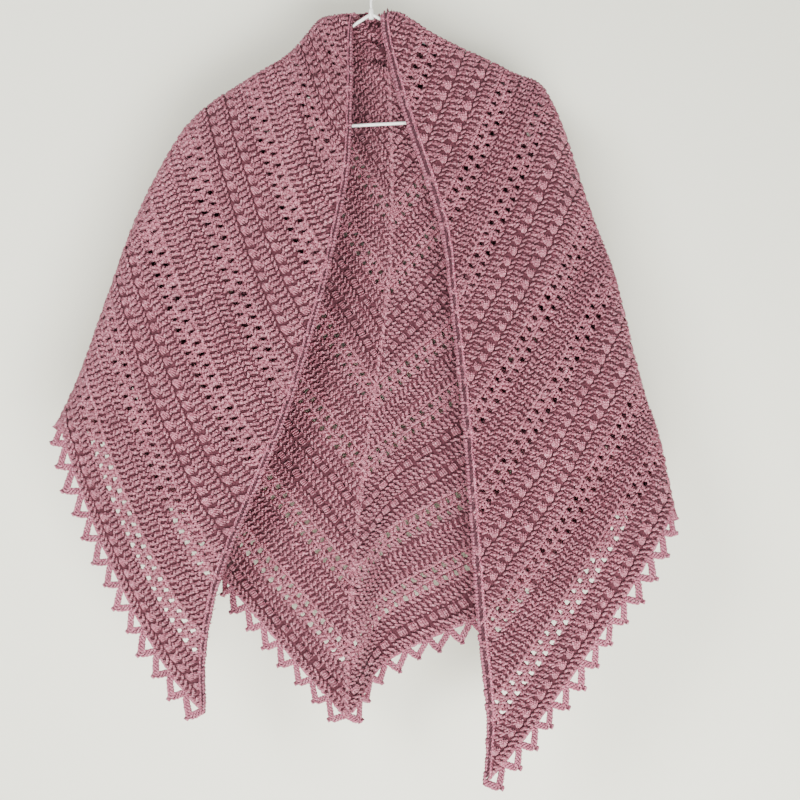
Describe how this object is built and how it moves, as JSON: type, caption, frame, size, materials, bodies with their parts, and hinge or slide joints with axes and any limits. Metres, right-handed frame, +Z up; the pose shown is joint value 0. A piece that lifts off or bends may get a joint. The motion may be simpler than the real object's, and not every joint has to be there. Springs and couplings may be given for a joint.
{
  "type": "crocheted shawl on a wire hanger",
  "caption": "Triangular crocheted shawl with open mesh rows, cluster rows and a pointed loop border, hung open-fronted over a white wire hanger.",
  "frame": {"origin": "underside of the top of the hanger's hook, where the hanger hangs", "axes": "+Z up, +X to the right as seen from the front, the open front of the shawl faces -Y"},
  "size_m": [0.7086, 0.167, 0.9719],
  "materials": {
    "shawl_yarn": "heathered plied yarn, matt",
    "edging_yarn": "heathered plied yarn, matt",
    "hanger_wire": "smooth white coating"
  },
  "bodies": {
    "root": {"body_left_front_upper": "shawl_yarn", "body_left_front_lower": "shawl_yarn", "body_left_back_upper": "shawl_yarn", "body_left_back_lower": "shawl_yarn", "body_right_front_upper": "shawl_yarn", "body_right_front_lower": "shawl_yarn", "body_right_back_upper": "shawl_yarn", "body_right_back_lower": "shawl_yarn", "loop_border_left_front": "edging_yarn", "loop_border_left_back": "edging_yarn", "loop_border_right_front": "edging_yarn", "loop_border_right_back": "edging_yarn", "top_edge_band_left": "edging_yarn", "top_edge_band_right": "edging_yarn", "hanger_frame": "hanger_wire", "hanger_hook": "hanger_wire"}
  },
  "joints": []
}
